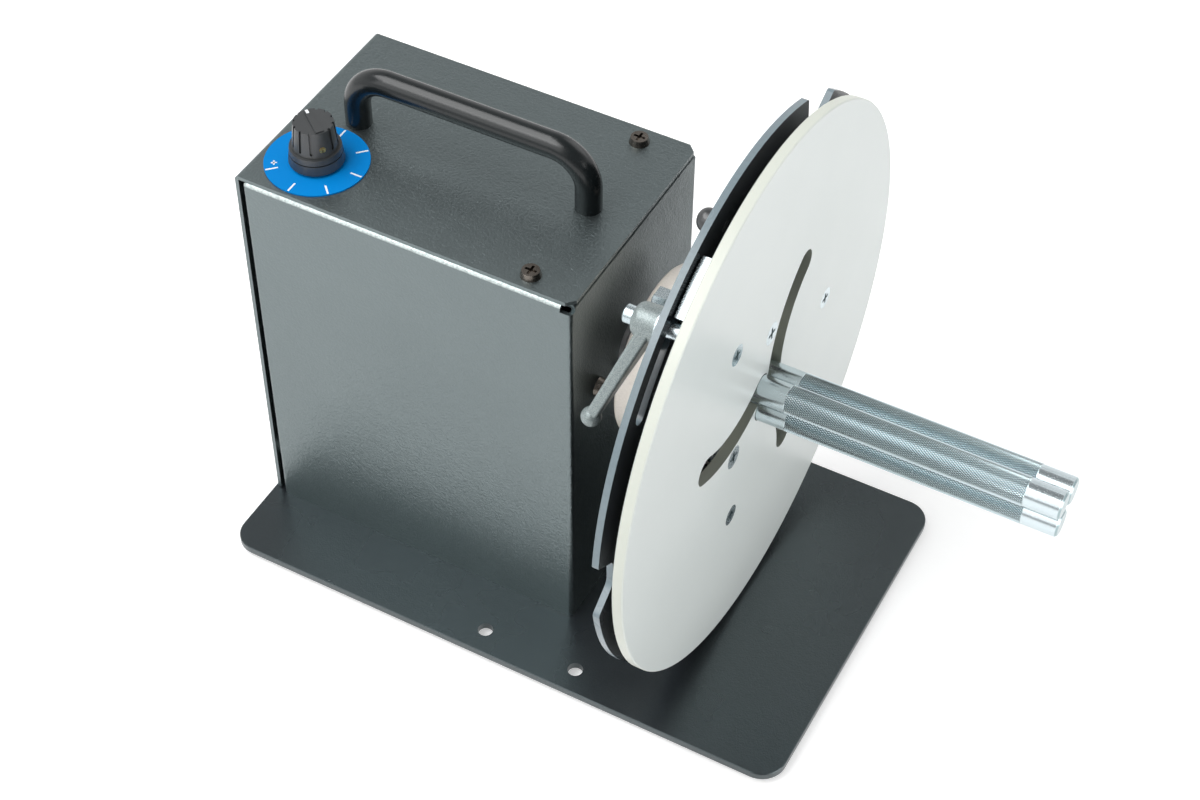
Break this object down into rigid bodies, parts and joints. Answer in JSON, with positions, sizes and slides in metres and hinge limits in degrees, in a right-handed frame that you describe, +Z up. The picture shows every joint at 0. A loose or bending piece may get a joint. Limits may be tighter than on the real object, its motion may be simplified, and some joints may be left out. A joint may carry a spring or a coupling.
{
  "type": "tabletop label rewinder",
  "caption": "Tabletop label rewinder: a sheet-metal motor housing on a base plate turns a flanged core holder whose rods swing out together to grip cores of many sizes.",
  "frame": {"origin": "under the middle of the whole machine's box, on the surface that its feet stand on; the spindle axis runs above it at Y = 0, Z = 119 mm", "axes": "+X along the spindle from the housing towards the free ends of the rods, +Y towards the back of the machine, +Z up"},
  "size_m": [0.3104, 0.22, 0.229],
  "materials": {
    "black_coat_fine": "fine-textured black powder coat, satin",
    "black_coat_plate": "fine-textured black powder coat, satin",
    "black_gloss_coat": "smooth black powder coat, semi-gloss",
    "black_screw": "black oxide",
    "rubber": "matt",
    "dial_blue": "printed aluminium sheet, satin",
    "knob_black": "matt black moulded",
    "brass": "turned",
    "steel": "turned and ground",
    "zinc": "bright blue zinc plate",
    "disc_grey": "smooth light grey powder coat",
    "hub_natural": "natural plastic, turned",
    "gearbox_alloy": "die cast",
    "motor_paint": "black",
    "board_green": "solder mask",
    "standoff_brass": "turned",
    "plastic_black": "moulded black plastic",
    "lever_grey": "grey textured coat on a zinc casting"
  },
  "bodies": {
    "base": {"base_plate": "black_coat_plate", "rubber_feet": "rubber", "chassis": "black_coat_fine", "cover": "black_coat_fine", "cover_screws": "black_screw", "side_screws": "black_screw", "base_screws": "black_screw", "gearbox_screws": "black_screw", "handle": "black_gloss_coat", "handle_screws": "black_screw", "dial_disc": "dial_blue", "potentiometer": "plastic_black", "pot_nut": "steel", "gearbox": "gearbox_alloy", "motor_can": "motor_paint", "control_board": "board_green", "board_standoffs": "standoff_brass", "power_jack": "plastic_black", "jack_nut": "steel", "switch_body": "plastic_black"},
    "spindle": {"output_shaft": "steel", "hub": "hub_natural", "hub_set_screw": "black_screw", "retaining_ring": "black_screw", "spacer_posts": "zinc", "pivot_bushes": "steel", "front_disc": "disc_grey", "hub_screws": "zinc", "pivot_screws": "zinc", "clamp_block": "zinc", "block_screws": "black_screw", "clamp_stud": "zinc"},
    "rear_disc": {"rear_disc": "black_gloss_coat", "grip_knob": "knob_black", "stop_bolt": "zinc", "stop_sleeve": "zinc", "stop_nut": "zinc"},
    "arm_1": {"swing_arm_1": "steel", "core_rod_1": "zinc", "drive_pin_1": "steel"},
    "arm_2": {"swing_arm_2": "steel", "core_rod_2": "zinc", "drive_pin_2": "steel"},
    "arm_3": {"swing_arm_3": "steel", "core_rod_3": "zinc", "drive_pin_3": "steel"},
    "lever": {"clamp_lever": "lever_grey", "lever_screw": "zinc", "lever_washer": "zinc"},
    "knob": {"control_knob": "knob_black", "knob_set_screw": "brass", "pot_shaft": "steel"},
    "rocker": {"switch_rocker": "plastic_black"}
  },
  "joints": [
    {"name": "spindle_spin", "type": "hinge", "parent": "base", "child": "spindle", "pos_m": [-0.0143, 0, 0.119], "axis": [1, 0, 0], "continuous": true},
    {"name": "disc_turn", "type": "hinge", "parent": "spindle", "child": "rear_disc", "pos_m": [0.0302, 0, 0.119], "axis": [1, 0, 0], "range_deg": [-16.31, 0]},
    {"name": "arm_swing_1", "type": "hinge", "parent": "spindle", "child": "arm_1", "pos_m": [0.0354, -0.02786, 0.16207], "axis": [1, 0, 0], "range_deg": [-59.05, 0]},
    {"name": "arm_swing_2", "type": "hinge", "parent": "spindle", "child": "arm_2", "pos_m": [0.0354, -0.02337, 0.07333], "axis": [1, 0, 0], "range_deg": [-59.05, 0]},
    {"name": "arm_swing_3", "type": "hinge", "parent": "spindle", "child": "arm_3", "pos_m": [0.0354, 0.05123, 0.1216], "axis": [1, 0, 0], "range_deg": [-59.05, 0]},
    {"name": "lever_turn", "type": "hinge", "parent": "spindle", "child": "lever", "pos_m": [0.0277, -0.06104, 0.19884], "axis": [1, 0, 0], "range_deg": [-30, 50]},
    {"name": "knob_turn", "type": "hinge", "parent": "base", "child": "knob", "pos_m": [-0.131, -0.0258, 0.176], "axis": [0, 0, 1], "range_deg": [-290, 0]},
    {"name": "rocker_tilt", "type": "hinge", "parent": "base", "child": "rocker", "pos_m": [-0.0858, 0.0451, 0.036], "axis": [0, 0, 1], "range_deg": [-9, 9]}
  ],
  "couplings": [
    {"joint": "arm_swing_1", "follows": "disc_turn", "ratio": 3.6164},
    {"joint": "arm_swing_2", "follows": "disc_turn", "ratio": 3.6164},
    {"joint": "arm_swing_3", "follows": "disc_turn", "ratio": 3.6164}
  ]
}
